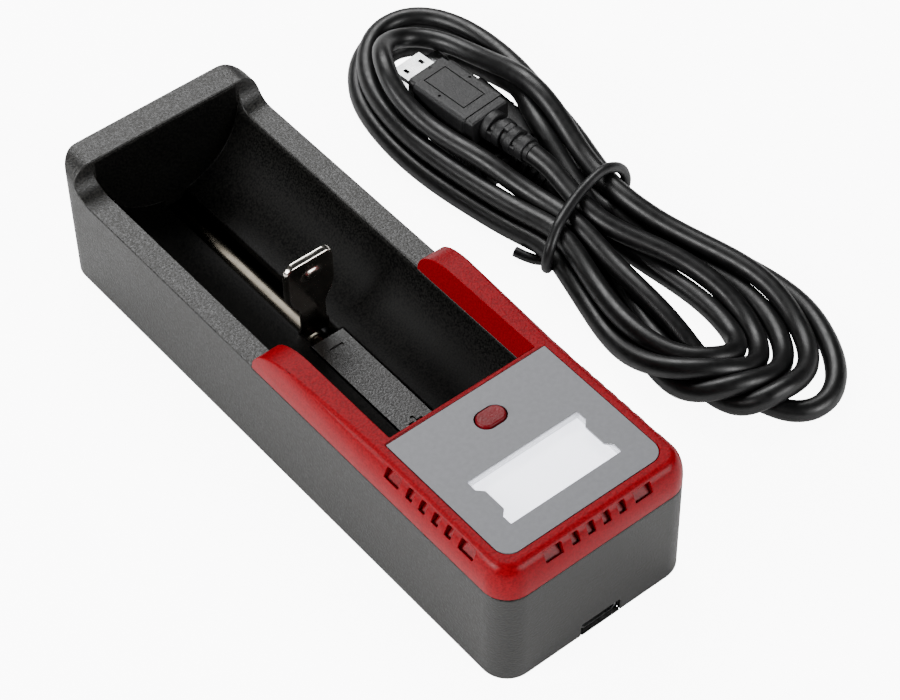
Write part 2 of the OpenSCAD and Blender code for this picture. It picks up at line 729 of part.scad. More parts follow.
module micro_strain_relief() {
    color("#1b1b1c") turned()
        strain_relief(plug_m_x, (plug_m_z[0] + plug_m_z[1]) / 2, lobe_gap_y, 32.2, 2.9, 2.1, 5);
}

module usb_a_shell() {
    z = 3.3 - 2.25;
    color("#cfcfcd") difference() {
        translate([plug_a_x, plug_a_y, z]) {
            box([-6, 0, 0], [6, 11.9, 4.5]);
        }
        translate([plug_a_x, plug_a_y, z]) {
            box([-5.7, 0.4, 0.3], [5.7, 13, 4.2]);
            for (s = [-1, 1]) box([s * 2.9 - 1.2, 3.6, -1], [s * 2.9 + 1.2, 6, 6]);
        }
    }
}

module usb_a_insert() {
    color("#e9e9e6") translate([plug_a_x, plug_a_y, 0])
        box([-5.65, 0.45, 1.4], [5.65, 11.4, 3.2]);
}

module usb_a_contacts() {
    color("#d3b25c") for (i = [0 : 3])
        translate([plug_a_x - 4 + i * 2.33, plug_a_y, 0]) box([0, 1.6, 3.2], [1, 11, 3.35]);
}

module usb_a_body() {
    color("#1b1b1c") difference() {
        union() {
            plug_block(plug_a_x, plug_a_z[0], plug_a_z[1], plug_a_y - 18.4, plug_a_y, 15.4, 0.9);
            plug_block(plug_a_x, plug_a_z[0] + 0.4, plug_a_z[1] - 0.4, plug_a_y - 19.8, plug_a_y - 18.3, 13, 0.9);
        }
        for (i = [0 : 3], s = [-1, 1]) translate([plug_a_x + s * 7.7, plug_a_y - 16 + 2 * i, 0])
            box([-0.3, 0, -1], [0.3, 1, 8]);
    }
}

module usb_a_strain_relief() {
    color("#1b1b1c") strain_relief(plug_a_x, 3.3, plug_a_y - 29, plug_a_y - 19.8, 3, 2.1, 4);
}

module twist_tie() {
    h = waist_z[1] - waist_z[0];
    color("#131313") translate([hank_x, tie_y + tie_d / 2, 0]) rotate([90, 0, 0]) linear_extrude(tie_d)
        difference() {
            translate([0, 0]) rounded_plan(2 * waist_half + 2 * tie_d, 0, h + 2 * tie_d, 2.5);
            translate([-waist_half, tie_d]) square([2 * waist_half, h]);
        }
}

lower_housing();
bottom_cover();
top_cover();
display_panel();
display_window();
lcd_frame();
lcd_glass();
backlight_panel();
display_board();
board_screws();
pin_header();
main_board();
usb_socket_shell();
usb_socket_tongue();
controller_chip();
charge_chip();
inductor();
capacitors();
chip_resistors();
schottky_diode();
tact_switch();
positive_contact();
slot_cover_plate();
guide_rail();
rail_rivets();
negative_wire();
case_screws();
rubber_feet();
slider_carriage();
negative_contact();
slider_spring();
button_cap();
tact_plunger();
lead_hank();
micro_plug_shell();
micro_plug_insert();
micro_plug_body();
micro_strain_relief();
usb_a_shell();
usb_a_insert();
usb_a_contacts();
usb_a_body();
usb_a_strain_relief();
twist_tie();
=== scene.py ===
import math
import bmesh
import bpy
import numpy as np
from mathutils import Matrix, Vector
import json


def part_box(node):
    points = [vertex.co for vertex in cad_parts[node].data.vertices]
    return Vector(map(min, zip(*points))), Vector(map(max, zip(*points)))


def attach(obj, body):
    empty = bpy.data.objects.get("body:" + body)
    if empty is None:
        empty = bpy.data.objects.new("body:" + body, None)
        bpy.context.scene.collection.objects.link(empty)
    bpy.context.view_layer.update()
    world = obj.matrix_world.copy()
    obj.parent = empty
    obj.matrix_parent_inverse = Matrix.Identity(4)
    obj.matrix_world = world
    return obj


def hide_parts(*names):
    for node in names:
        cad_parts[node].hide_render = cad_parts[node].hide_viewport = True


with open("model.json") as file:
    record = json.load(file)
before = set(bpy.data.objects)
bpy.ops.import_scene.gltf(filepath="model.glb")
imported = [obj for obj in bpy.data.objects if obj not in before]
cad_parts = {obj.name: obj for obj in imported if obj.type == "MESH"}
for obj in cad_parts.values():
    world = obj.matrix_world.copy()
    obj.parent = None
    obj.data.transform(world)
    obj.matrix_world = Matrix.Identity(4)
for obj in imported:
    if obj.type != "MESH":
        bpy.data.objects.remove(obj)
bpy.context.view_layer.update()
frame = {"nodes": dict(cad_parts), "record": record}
NODES = frame["nodes"]
MM = 0.001


# ---------------------------------------------------------------- camera

CAMERA_AT = Vector((-0.187386, -0.259434, 0.373282))
CAMERA_AZIMUTH = math.radians(-38.5226)
CAMERA_ELEVATION = math.radians(48.3357)
CAMERA_ROLL = math.radians(-0.96656)
CAMERA_LENS = 113.466


def make_camera():
    """The camera looks down the charger from its display end, a little rolled."""
    a, e, r = CAMERA_AZIMUTH, CAMERA_ELEVATION, CAMERA_ROLL
    back = Vector((math.sin(a) * math.cos(e), -math.cos(a) * math.cos(e), math.sin(e)))
    level = Vector((math.cos(a), math.sin(a), 0))
    upright = back.cross(level)
    right = math.cos(r) * level + math.sin(r) * upright
    up = back.cross(right)
    cam = bpy.data.objects.new("camera", bpy.data.cameras.new("camera"))
    bpy.context.scene.collection.objects.link(cam)
    cam.matrix_world = Matrix.Translation(CAMERA_AT) @ Matrix((right, up, back)).transposed().to_4x4()
    cam.data.lens, cam.data.sensor_width = CAMERA_LENS, 36
    cam.data.clip_start, cam.data.clip_end = 0.01, 10
    bpy.context.scene.camera = cam


make_camera()


# ---------------------------------------------------------------- materials

def colour(value):
    """An sRGB hex colour as linear light."""
    parts = [int(value[i:i + 2], 16) / 255 for i in (0, 2, 4)]
    return [c / 12.92 if c <= 0.04045 else ((c + 0.055) / 1.055) ** 2.4 for c in parts] + [1]


def add(tree, kind, settings=None, **links):
    """Adds a node, sets what is plain on it, and links what is a socket."""
    node = tree.nodes.new(kind)
    for key, value in (settings or {}).items():
        if isinstance(key, str) and hasattr(node, key):
            setattr(node, key, value)
        else:
            node.inputs[key].default_value = value
    for key, value in links.items():
        name = key.replace("_", " ")
        socket = node.inputs[int(name[1:]) if name[0] == "i" and name[1:].isdigit() else name]
        if isinstance(value, bpy.types.NodeSocket):
            tree.links.new(value, socket)
        else:
            socket.default_value = value
    return node


def new_material(name, base, rough, metallic=0.0, ior=None, **more):
    """A material with its surface node; returns the material, its tree, the shader and Object coordinates."""
    mat = bpy.data.materials.new(name)
    mat.use_nodes = True
    tree = mat.node_tree
    shader = tree.nodes["Principled BSDF"]
    shader.inputs["Base Color"].default_value = colour(base)
    shader.inputs["Roughness"].default_value = rough
    shader.inputs["Metallic"].default_value = metallic
    if ior:
        shader.inputs["IOR"].default_value = ior
    for key, value in more.items():
        shader.inputs[key.replace("_", " ")].default_value = value
    where = tree.nodes.new("ShaderNodeTexCoord").outputs["Object"]
    mat.diffuse_color = colour(base)
    return mat, tree, shader, where


def grain(tree, shader, where, size_mm, depth_mm, strength, detail=2.0, rough_from=None):
    """A fine bumpy surface with grains of one size; it can also vary the roughness."""
    noise = add(tree, "ShaderNodeTexNoise", {"Scale": 1 / (size_mm * MM), "Detail": detail, "Roughness": 0.55},
                Vector=where)
    bump = add(tree, "ShaderNodeBump", {"Strength": strength, "Distance": depth_mm * MM},
               Height=noise.outputs["Fac"])
    tree.links.new(bump.outputs["Normal"], shader.inputs["Normal"])
    if rough_from:
        lo, hi = rough_from
        spread = add(tree, "ShaderNodeMapRange", {"From Min": 0.3, "From Max": 0.7, "To Min": lo, "To Max": hi},
                     Value=noise.outputs["Fac"])
        tree.links.new(spread.outputs["Result"], shader.inputs["Roughness"])
    return noise, bump


def tint(tree, shader, where, dark, light, size_mm, low=0.35, high=0.65, detail=3.0):
    """Slow change of colour over the surface between two close shades."""
    noise = add(tree, "ShaderNodeTexNoise", {"Scale": 1 / (size_mm * MM), "Detail": detail}, Vector=where)
    ramp = add(tree, "ShaderNodeValToRGB", Fac=noise.outputs["Fac"])
    ramp.color_ramp.elements[0].position, ramp.color_ramp.elements[1].position = low, high
    ramp.color_ramp.elements[0].color, ramp.color_ramp.elements[1].color = colour(dark), colour(light)
    tree.links.new(ramp.outputs["Color"], shader.inputs["Base Color"])
    return ramp


SAND_MM = 0.36                           # grain of the moulded plastic, drawn coarse enough to show
SAND_DEPTH_MM = 0.09
BAY_MIDDLE, BAY_HALF = (0, 15, 15), (15.4, 45, 11.6)    # the box of the battery bay in the housing, in mm
BAY_FADE_MM = 0.3                        # over which its finish and its painted shade change to those of the rest


def spark_textured_abs(name, smooth_bay_painted_shade):
    """Black ABS with a sandy moulded grain that greys it where light falls. When the last argument is true, the
    battery bay is smoother and less glossy, and its colour is darkened there as painted shade."""
    mat, tree, shader, where = new_material(name, "141414", 0.5, ior=1.5)
    speckle = tint(tree, shader, where, "0b0b0b", "2b2a27", SAND_MM, 0.38, 0.66, 1.0)
    sand = grain(tree, shader, where, SAND_MM, SAND_DEPTH_MM, 0.9, 1.0, (0.36, 0.6))[1]
    if not smooth_bay_painted_shade:
        return mat
    axes = add(tree, "ShaderNodeSeparateXYZ", Vector=where).outputs
    outside_shaded_bay = None
    for axis, middle, half in zip("XYZ", BAY_MIDDLE, BAY_HALF):
        off = add(tree, "ShaderNodeMath", {"operation": "SUBTRACT"}, i0=axes[axis], i1=middle * MM)
        off = add(tree, "ShaderNodeMath", {"operation": "ABSOLUTE"}, i0=off.outputs["Value"])
        past = add(tree, "ShaderNodeMapRange", {"From Min": (half - BAY_FADE_MM) * MM, "From Max": half * MM},
                   Value=off.outputs["Value"]).outputs["Result"]
        outside_shaded_bay = past if outside_shaded_bay is None else add(tree, "ShaderNodeMath", {"operation": "MAXIMUM"}, i0=outside_shaded_bay,
                                                   i1=past).outputs["Value"]
    gloss = add(tree, "ShaderNodeMapRange", {"To Min": 0.1, "To Max": 0.5}, Value=outside_shaded_bay)
    tree.links.new(gloss.outputs["Result"], shader.inputs["Specular IOR Level"])
    # 0.3 in the bay and 0.9 outside: it sets the grain's strength, and below it also scales the colour, which
    #                                 paints shade into the bay
    rough = add(tree, "ShaderNodeMapRange", {"To Min": 0.3, "To Max": 0.9}, Value=outside_shaded_bay)
    tree.links.new(rough.outputs["Result"], sand.inputs["Strength"])
    # Painted shade: the speckled black, scaled to 0.3 of itself inside the bay
    shade = add(tree, "ShaderNodeVectorMath", {"operation": "SCALE"}, i0=speckle.outputs["Color"],
                Scale=rough.outputs["Result"])
    tree.links.new(shade.outputs["Vector"], shader.inputs["Base Color"])
    return mat


def red_abs():
    """Red ABS: sandy texture on the faces that look up, smooth on the slopes."""
    mat, tree, shader, where = new_material("red_abs_satin", "82000f", 0.36, ior=1.5, Specular_IOR_Level=0.12)
    tint(tree, shader, where, "76000c", "900011", SAND_MM, 0.36, 0.64, 1.0)
    noise = add(tree, "ShaderNodeTexNoise", {"Scale": 1 / (SAND_MM * MM), "Detail": 1.0}, Vector=where)
    facing = add(tree, "ShaderNodeSeparateXYZ", Vector=tree.nodes["Texture Coordinate"].outputs["Normal"])
    upward = add(tree, "ShaderNodeMapRange", {"From Min": 0.86, "From Max": 0.97, "To Min": 0.12, "To Max": 1.0},
                 Value=facing.outputs["Z"])
    height = add(tree, "ShaderNodeMath", {"operation": "MULTIPLY"}, i0=noise.outputs["Fac"],
                 i1=upward.outputs["Result"])
    bump = add(tree, "ShaderNodeBump", {"Strength": 0.9, "Distance": 0.08 * MM}, Height=height.outputs["Value"])
    rough = add(tree, "ShaderNodeMapRange", {"From Min": 0.12, "From Max": 1.0, "To Min": 0.3, "To Max": 0.5},
                Value=upward.outputs["Result"])
    tree.links.new(bump.outputs["Normal"], shader.inputs["Normal"])
    tree.links.new(rough.outputs["Result"], shader.inputs["Roughness"])
    return mat


def simple(name, base, rough, size_mm=0.4, depth_mm=0.03, strength=0.4, second=None, **more):
    """A moulded or coated finish: one colour with a second close shade, and a fine bump."""
    mat, tree, shader, where = new_material(name, base, rough, **more)
    if second:
        tint(tree, shader, where, base, second, size_mm * 6)
    grain(tree, shader, where, size_mm, depth_mm, strength, 2.0, (max(0.02, rough - 0.05), rough + 0.07))
    return mat


def drawn_metal(name, base, rough, along="Y", size_mm=0.12, stretch=40, depth_mm=0.006, strength=0.35):
    """Rolled or drawn metal: faint lines along one way, from the rolls or the die."""
    mat, tree, shader, where = new_material(name, base, rough, metallic=1.0)
    scale = [1.0, 1.0, 1.0]
    scale["XYZ".index(along)] = 1 / stretch
    lines = add(tree, "ShaderNodeMapping", {"Scale": scale}, Vector=where)
    noise = add(tree, "ShaderNodeTexNoise", {"Scale": 1 / (size_mm * MM), "Detail": 2.0},
                Vector=lines.outputs["Vector"])
    cloud = add(tree, "ShaderNodeTexNoise", {"Scale": 1 / (2.5 * MM), "Detail": 3.0}, Vector=where)
    both = add(tree, "ShaderNodeMath", {"operation": "MULTIPLY"}, i0=noise.outputs["Fac"], i1=cloud.outputs["Fac"])
    spread = add(tree, "ShaderNodeMapRange", {"From Min": 0.1, "From Max": 0.5, "To Min": rough - 0.06,
                                              "To Max": rough + 0.12}, Value=both.outputs["Value"])
    bump = add(tree, "ShaderNodeBump", {"Strength": strength, "Distance": depth_mm * MM},
               Height=noise.outputs["Fac"])
    tree.links.new(spread.outputs["Result"], shader.inputs["Roughness"])
    tree.links.new(bump.outputs["Normal"], shader.inputs["Normal"])
    return mat


# The housing's black, painted darker in the battery bay as shade; the cover plate's black has no painted shade
DARK_ABS = spark_textured_abs("black_abs_spark_textured_bay_shade", True)
PLATE_ABS = spark_textured_abs("black_abs_cover_plate", False)
RED_ABS = red_abs()
# Red ABS key: the same resin, satin all over.
KEY_RED = simple("red_abs_key", "74000e", 0.42, SAND_MM, 0.08, 0.9, "66000b", ior=1.5, Specular_IOR_Level=0.25)
# Screen print behind a satin polycarbonate sheet: even grey with a faint sand.
PANEL_GREY = simple("panel_satin_print", "76777b", 0.4, 0.16, 0.008, 0.35, "717276", ior=1.5,
                    Specular_IOR_Level=0.35)
# Cast acrylic: clear, polished.
WINDOW = simple("window_clear_acrylic", "f4f6f8", 0.03, 3.0, 0.01, 0.05, Alpha=0.12, ior=1.49)
# Liquid crystal glass over its white diffuser: pale, slightly violet, glossy. It is also made to glow, as painted
# light that brightens the unlit display.
LCD = simple("lcd_glass_pale_painted_glow", "eeeffa", 0.3, 0.5, 0.004, 0.1, "f2f3fb", ior=1.52,
             Emission_Color=(0.92, 0.93, 1, 1), Emission_Strength=2.6)
# White ABS, satin.
WHITE_ABS = simple("white_abs_moulded", "d9dade", 0.42, 0.3, 0.02, 0.3, "d2d3d7", ior=1.53)
# Nickel plated spring strip, lightly lined along its length.
NICKEL = drawn_metal("nickel_plated_strip", "cfcac2", 0.17)
# The plated rail in the slot: the same plating as the contact, its colour darkened as painted shade for the slot it
# lies in.
SHADED_RAIL_STEEL = drawn_metal("nickel_plated_rail_painted_shade", "45413a", 0.24)
# Zinc plated steel, lightly lined.
STEEL = drawn_metal("zinc_plated_steel", "b4b5b6", 0.3, "Z", 0.2, 6, 0.01, 0.3)
# Glass-fibre board under green solder resist.
BOARD_GREEN = simple("fr4_solder_resist", "0f4226", 0.32, 0.8, 0.02, 0.4, "14502f", ior=1.55)
# Moulded chip epoxy.
CHIP_BLACK = simple("chip_epoxy", "1c1c1d", 0.55, 0.15, 0.02, 0.5, "222223", ior=1.55)
# Shrunk sleeve of a capacitor.
SLEEVE = simple("capacitor_sleeve", "3c3052", 0.3, 1.0, 0.02, 0.3, "453760", ior=1.5)
# Gold flashed brass of pins and contacts.
GOLD = drawn_metal("gold_flashed_brass", "d9b25a", 0.22, "Y", 0.1, 20)
# Matt black rubber.
FOOT_RUBBER = simple("rubber_foot", "161616", 0.75, 0.35, 0.05, 0.5, "1c1c1b", ior=1.52)
# Black acetal, smooth.
ACETAL = simple("acetal_black", "171718", 0.35, 0.6, 0.02, 0.3, "1c1c1d", ior=1.48)
# Extruded soft vinyl: satin black with a long soft highlight.
LEAD_VINYL = simple("lead_vinyl", "080808", 0.4, 1.5, 0.006, 0.15, "0b0b0c", ior=1.5)
# The plugs are moulded in the same vinyl, in a lightly sanded tool.
PLUG_VINYL = simple("plug_vinyl_moulded", "0d0d0e", 0.5, 0.35, 0.1, 0.7, "141415", ior=1.5)
# Smooth black vinyl of the tie.
TIE_VINYL = simple("tie_vinyl", "0f0f10", 0.42, 0.4, 0.01, 0.3, "131314", ior=1.5)

FINISH = {
    "black_abs": DARK_ABS, "red_abs": RED_ABS, "panel_print": PANEL_GREY, "clear_window": WINDOW,
    "lcd_face": LCD, "white_plastic": WHITE_ABS, "nickel": NICKEL, "steel": STEEL, "circuit_board": BOARD_GREEN,
    "chip_epoxy": CHIP_BLACK, "capacitor_sleeve": SLEEVE, "gold_pins": GOLD, "foot_rubber": FOOT_RUBBER,
    "sled_acetal": ACETAL, "lead_pvc": LEAD_VINYL, "plug_pvc": PLUG_VINYL, "button_red": KEY_RED,
}
SLOT_OF = {row["node"]: row["material_slot"] for row in frame["record"]["subparts"]}
for node_name, cad in NODES.items():
    cad.data.materials.clear()
    cad.data.materials.append(FINISH[SLOT_OF[node_name]])
NODES["slot_cover_plate"].data.materials[0] = PLATE_ABS
NODES["bottom_cover"].data.materials[0] = PLATE_ABS
NODES["guide_rail"].data.materials[0] = SHADED_RAIL_STEEL


# ---------------------------------------------------------------- lead

LEAD_D = 3.9                             # as drawn; measured strands suggest 0.2 to 0.3 mm less
TIE_Y = 5.0                              # where the tie crosses the hank
LOW, HIGH = 3.95, 7.2                    # strand heights under the tie
SLOT_STEP = 3.75                         # the tie presses the soft strands a little into each other's room
SLOT_LOW = [46.6 + SLOT_STEP * k for k in range(6)]
SLOT_HIGH = [48.5 + SLOT_STEP * k for k in range(5)]


def low(k):
    return SLOT_LOW[k], LOW


def high(k):
    return SLOT_HIGH[k], HIGH


# One row a loop: slot it leaves the tie from and comes back to, where it is widest each way, its far end,
# and its heights going out, at the end and coming back. All in millimetres.
LOOPS = [
    (high(2), low(0), (64.2, -21), (41.2, -26), (52.5, -40.2), (5.3, 5.3, 5.3)),
    (low(0), low(4), (42.4, 37), (72.2, 50), (61.5, 71.6), (1.8, 1.8, 1.8)),
    (low(4), low(1), (67.2, -26), (43.0, -30), (54.5, -43.8), (1.8, 4.8, 1.8)),
    (low(1), low(3), (45.4, 42), (68.6, 48), (58, 66.8), (1.8, 4.0, 8.4)),
    (low(3), high(0), (60.9, -24), (43.9, -22), (52, -35.6), (2.5, 5.3, 5.3)),
    (high(0), low(5), (44.6, 42), (71.8, 52), (61.3, 70.4), (5.3, 5.3, 5.3)),
    (low(5), high(1), (73.0, -29), (49.2, -37), (58.5, -52.0), (1.8, 1.8, 1.8)),
    (high(1), high(4), (46.6, 43), (66.4, 46), (57.8, 63.8), (8.4, 8.0, 8.6)),
    (high(4), low(2), (70.8, -25), (46.4, -36), (58.4, -47.3), (5.3, 5.0, 1.8)),
]
SMALL_PLUG_END = [(56.2, 21.1, 9.7), (56.5, 17, 9.3)]
LARGE_PLUG_END = [(55.4, 10, 3.6), (56.8, 14, 3.4), (57.2, 17, 3.3)]


def loop_points(leave, back, out_side, back_side, far, heights):
    """One loop of the hank, from the tie out round its far end and up to the tie again."""
    (x0, z0), (x1, z1) = leave, back
    z_out, z_far, z_back = heights
    (xa, ya), (xb, yb), (xf, yf) = out_side, back_side, far
    points = [(x0, TIE_Y, z0), (x0 + 0.10 * (xa - x0), TIE_Y + 0.18 * (ya - TIE_Y), z0),
              (x0 + 0.60 * (xa - x0), TIE_Y + 0.56 * (ya - TIE_Y), (z0 + z_out) / 2)]
    for t in (0, 32, 62, 90, 118, 148, 180):
        c, s = abs(math.cos(math.radians(t))), math.sin(math.radians(t))
        sx, sy, sz = (xa, ya, z_out) if t <= 90 else (xb, yb, z_back)
        points.append((xf + (sx - xf) * c, sy + (yf - sy) * s, z_far + (sz - z_far) * c))
    points += [(x1 + 0.60 * (xb - x1), TIE_Y + 0.56 * (yb - TIE_Y), (z1 + z_back) / 2),
               (x1 + 0.10 * (xb - x1), TIE_Y + 0.18 * (yb - TIE_Y), z1)]
    return points


def even(points, step):
    """The same line with its points an even step apart."""
    along = np.r_[0, np.cumsum(np.linalg.norm(np.diff(points, axis=0), axis=1))]
    at = np.linspace(0, along[-1], int(round(along[-1] / step)) + 1)
    return np.stack([np.interp(at, along, points[:, k]) for k in range(3)], 1)


def rounded(points, step):
    """A smooth line through the points, with its corners taken by a centripetal spline."""
    p = np.array(points, float)
    p = np.vstack([2 * p[0] - p[1], p, 2 * p[-1] - p[-2]])
    line = []
    for p0, p1, p2, p3 in zip(p, p[1:], p[2:], p[3:]):
        t0 = 0.0
        t1, t2, t3 = np.cumsum([np.linalg.norm(b - a) ** 0.5 for a, b in ((p0, p1), (p1, p2), (p2, p3))])
        for t in np.linspace(t1, t2, max(2, int(np.linalg.norm(p2 - p1) / (0.25 * step))), endpoint=False):
            a1 = (t1 - t) / (t1 - t0) * p0 + (t - t0) / (t1 - t0) * p1
            a2 = (t2 - t) / (t2 - t1) * p1 + (t - t1) / (t2 - t1) * p2
            a3 = (t3 - t) / (t3 - t2) * p2 + (t - t2) / (t3 - t2) * p3
            b1 = (t2 - t) / (t2 - t0) * a1 + (t - t0) / (t2 - t0) * a2
            b2 = (t3 - t) / (t3 - t1) * a2 + (t - t1) / (t3 - t1) * a3
            line.append((t2 - t) / (t2 - t1) * b1 + (t - t1) / (t2 - t1) * b2)
    line.append(p[-2])
    return even(np.array(line), step)


def in_mm(node):
    lo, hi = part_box(node)
    return np.array(lo) / MM, np.array(hi) / MM


PLUG_TURN = math.radians(4.9)            # the small plug lies turned by this much


def straightened(node):
    """The box of a node of the small plug, as it would be if the plug weren't turned."""
    lo, hi = in_mm(node)
    middle, (w, h, d) = (lo + hi) / 2, hi - lo
    c, s = math.cos(PLUG_TURN), math.sin(PLUG_TURN)
    half = np.array([w * c - h * s, h * c - w * s, d * (c * c - s * s)]) / (c * c - s * s) / 2
    return middle - half, middle + half


def settled(line, step, rounds):
    """Lays the line down: strands push apart where they touch, rest on the table and on the plugs, and stay
    stiff. Every amount is a move for one round, in mm or as a share of what is left to go."""
    r = LEAD_D / 2
    touch, push_share, sink, block_share, climb = LEAD_D + 0.05, 0.3, 0.008, 0.5, 0.2
    tie_share, tie_half, stiff, taut, keep_share = 0.2, 1.5, 0.11, 0.02, 0.012
    laid, q = line.copy(), line.copy()
    held = np.zeros(len(q), bool)
    held[:3] = held[-3:] = True
    i, j = np.triu_indices(len(q), int(round(11 / step)))
    spacing = np.linalg.norm(np.diff(q, axis=0), axis=1).mean()
    blocks = [(*in_mm(n), 0) for n in ("usb_a_body", "usb_a_shell", "micro_plug_shell")]
    blocks.append((*straightened("micro_plug_body"), PLUG_TURN))
    rods = []
    for n in ("usb_a_strain_relief", "micro_strain_relief"):
        lo, hi = in_mm(n)
        rods.append(((lo[0] + hi[0]) / 2, (lo[2] + hi[2]) / 2, lo[1], hi[1], (hi[0] - lo[0]) / 2))
    for _ in range(rounds):
        q[:, 2] -= sink
        gap = q[j] - q[i]
        far = np.linalg.norm(gap, axis=1)
        near = far < touch
        if near.any():
            push = gap[near] / far[near][:, None] * ((touch - far[near]) * push_share)[:, None]
            np.add.at(q, i[near], -push)
            np.add.at(q, j[near], push)
        for lo, hi, turn in blocks:
            c, s, middle = math.cos(turn), math.sin(turn), (lo + hi) / 2
            spin = np.array([[c, -s, 0], [s, c, 0], [0, 0, 1]])
            there = (q - middle) @ spin
            below, above = there + (hi - lo) / 2 + r, (hi - lo) / 2 + r - there
            for k in np.where(((below > 0) & (above > 0)).all(1))[0]:
                least, axis, way = min((below[k, 0], 0, -1), (above[k, 0], 0, 1), (climb * above[k, 2], 2, 1))
                there[k, axis] += block_share * (least / climb if axis == 2 else way * least)
                q[k] = middle + spin @ there[k]
        for x, z, y0, y1, rod in rods:
            off = q[:, [0, 2]] - (x, z)
            dist = np.linalg.norm(off, axis=1)
            hit = (q[:, 1] > y0) & (q[:, 1] < y1) & (dist < rod + r) & ~held
            q[hit, 0] += off[hit, 0] / dist[hit] * (rod + r - dist[hit]) * block_share
            q[hit, 2] += off[hit, 1] / dist[hit] * (rod + r - dist[hit]) * block_share
        tied = np.abs(q[:, 1] - TIE_Y) < tie_half
        q[tied, 0] += tie_share * (laid[tied, 0] - q[tied, 0])
        q[tied, 2] += tie_share * (laid[tied, 2] - q[tied, 2])
        lap = np.zeros_like(q)
        lap[1:-1] = q[:-2] + q[2:] - 2 * q[1:-1]
        bend = np.zeros_like(q)
        bend[2:-2] = 2 * lap[2:-2] - lap[1:-3] - lap[3:-1]
        q += stiff * bend + taut * lap
        q[:, :2] += keep_share * (laid[:, :2] - q[:, :2])
        q[:, 2] = np.maximum(q[:, 2], r)
        q[held] = laid[held]
        for _ in range(2):
            edge = np.diff(q, axis=0)
            size = np.linalg.norm(edge, axis=1, keepdims=True)
            fix = edge / size * (size - spacing) * 0.25
            q[:-1] += fix
            q[1:] -= fix
            q[held] = laid[held]
    return q


def curve_piece(name, points_mm, radius_mm, material, sides):
    """A round wire or lead along the points."""
    data = bpy.data.curves.new(name, "CURVE")
    data.dimensions = "3D"
    spline = data.splines.new("POLY")
    spline.points.add(len(points_mm) - 1)
    for point, p in zip(spline.points, points_mm):
        point.co = (*[c * MM for c in p], 1)
    data.bevel_depth, data.bevel_resolution, data.use_fill_caps = radius_mm * MM, sides, True
    data.materials.append(material)
    spline.use_smooth = True
    obj = bpy.data.objects.new(name, data)
    bpy.context.scene.collection.objects.link(obj)
    return obj


def make_lead():
    points = list(SMALL_PLUG_END)
    for loop in LOOPS:
        points += loop_points(*loop)
    x, z = LOOPS[-1][1]
    points += [(x, TIE_Y, z)] + LARGE_PLUG_END
    step = 2.5
    line = settled(rounded(points, step), step, 700)
    return curve_piece("usb_lead_strand", rounded(line, 0.9), LEAD_D / 2, LEAD_VINYL, 5)


lead = make_lead()


# ---------------------------------------------------------------- pieces

BODY_OF = {node: body for body, nodes in frame["record"]["behaviour"]["bodies"].items() for node in nodes}


def stand_in(obj, node):
    """The piece takes the place of a CAD node: it joins that node's body, and the node is hidden."""
    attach(obj, BODY_OF[node])
    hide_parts(node)
    return obj


def round_edges(obj, width_mm, angle=32):
    """Rounds the edges that fold by more than the angle, and keeps flat faces flat."""
    bevel = obj.modifiers.new("edges", "BEVEL")
    bevel.width, bevel.segments, bevel.limit_method = width_mm * MM, 2, "ANGLE"
    bevel.angle_limit, bevel.use_clamp_overlap = math.radians(angle), False
    bevel.miter_outer = "MITER_ARC"
    weigh = obj.modifiers.new("flat_faces", "WEIGHTED_NORMAL")
    weigh.weight, weigh.keep_sharp = 100, True


def soften(node, width_mm, crisp=None):
    """A copy of a CAD node with its loose triangles joined, flat faces whole, and its edges rounded. Edges with
    a middle for which crisp is true stay as they are."""
    mesh = NODES[node].data.copy()
    bm = bmesh.new()
    bm.from_mesh(mesh)
    bmesh.ops.remove_doubles(bm, verts=bm.verts, dist=1e-6)
    bmesh.ops.dissolve_limit(bm, angle_limit=math.radians(0.6), verts=bm.verts, edges=bm.edges)
    weight = bm.edges.layers.float.new("bevel_weight_edge")
    for face in bm.faces:
        face.smooth = True
    for edge in bm.edges:
        folded = len(edge.link_faces) == 2 and edge.calc_face_angle() > math.radians(32)
        middle = (edge.verts[0].co + edge.verts[1].co) / 2 / MM
        edge[weight] = float(folded and not (crisp and crisp(middle)))
        edge.smooth = not (folded and edge[weight] == 0)
    bm.to_mesh(mesh)
    bm.free()
    obj = bpy.data.objects.new(node + "_piece", mesh)
    bpy.context.scene.collection.objects.link(obj)
    round_edges(obj, width_mm)
    if crisp:
        obj.modifiers["edges"].limit_method = "WEIGHT"
    return stand_in(obj, node)


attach(lead, "usb_lead")
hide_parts("lead_hank")


def plug_marks(middle):
    """True on the small plug's top, inside its outer edges, where its engraved frame and dots are."""
    lo, hi = in_mm("micro_plug_body")
    off = Matrix.Rotation(-PLUG_TURN, 2) @ (middle.xy - Vector(((lo[0] + hi[0]) / 2, (lo[1] + hi[1]) / 2)))
    return middle.z > hi[2] - 1.2 and abs(off.x) < 4.4 and abs(off.y) < 8


for node_name, width in (("lower_housing", 0.25), ("top_cover", 0.18), ("display_panel", 0.06),
                         ("button_cap", 0.35), ("usb_a_body", 0.4), ("bottom_cover", 0.15), ("rubber_feet", 0.2),
                         ("slot_cover_plate", 0.06), ("slider_carriage", 0.1)):
    soften(node_name, width)
soften("micro_plug_body", 0.35, crisp=plug_marks)


# ---------------------------------------------------------------- sliding contact

def mesh_piece(name, verts_mm, faces, material):
    mesh = bpy.data.meshes.new(name)
    mesh.from_pydata([[c * MM for c in v] for v in verts_mm], [], faces)
    mesh.polygons.foreach_set("use_smooth", [True] * len(mesh.polygons))
    mesh.materials.append(material)
    obj = bpy.data.objects.new(name, mesh)
    bpy.context.scene.collection.objects.link(obj)
    return obj


def smooth_step(t):
    t = min(1, max(0, t))
    return t * t * (3 - 2 * t)


